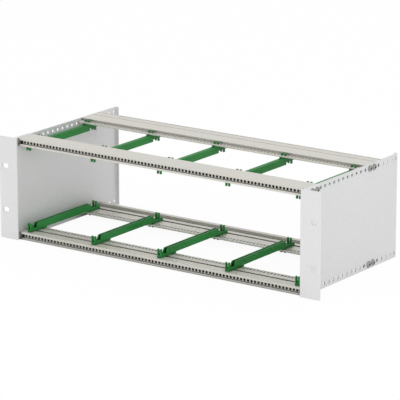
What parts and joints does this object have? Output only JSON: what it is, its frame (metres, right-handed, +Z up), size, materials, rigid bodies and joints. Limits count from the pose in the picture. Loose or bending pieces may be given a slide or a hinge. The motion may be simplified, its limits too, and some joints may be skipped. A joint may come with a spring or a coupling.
{
  "type": "subrack card cage",
  "caption": "Open rack-mount card cage with slotted flanges, perforated side panels, cross rails with threaded strips, and clip-in card guides at top and bottom.",
  "frame": {"origin": "centre of the rack flanges' front face, midway between their four slots", "axes": "+X to the right seen from the front, +Y from the front toward the rear, +Z up"},
  "size_m": [0.4826, 0.2133, 0.1326],
  "materials": {
    "side_panel": "satin anodised sheet",
    "rack_flange": "satin anodised extrusion",
    "rail": "satin extrusion, clear passivated",
    "thread_strip": "zinc plated",
    "card_guide": "moulded green plastic",
    "screw": "zinc plated"
  },
  "bodies": {
    "root": {"left_side_panel": "side_panel", "right_side_panel": "side_panel", "left_rack_flange": "rack_flange", "right_rack_flange": "rack_flange", "front_top_rail": "rail", "front_bottom_rail": "rail", "rear_top_rail": "rail", "rear_bottom_rail": "rail", "front_top_thread_strip": "thread_strip", "front_bottom_thread_strip": "thread_strip", "card_guide_top_1": "card_guide", "card_guide_top_2": "card_guide", "card_guide_top_3": "card_guide", "card_guide_top_4": "card_guide", "card_guide_top_5": "card_guide", "card_guide_bottom_1": "card_guide", "card_guide_bottom_2": "card_guide", "card_guide_bottom_3": "card_guide", "card_guide_bottom_4": "card_guide", "card_guide_bottom_5": "card_guide", "left_front_screws": "screw", "right_front_screws": "screw", "left_rear_screws": "screw", "right_rear_screws": "screw"}
  },
  "joints": []
}
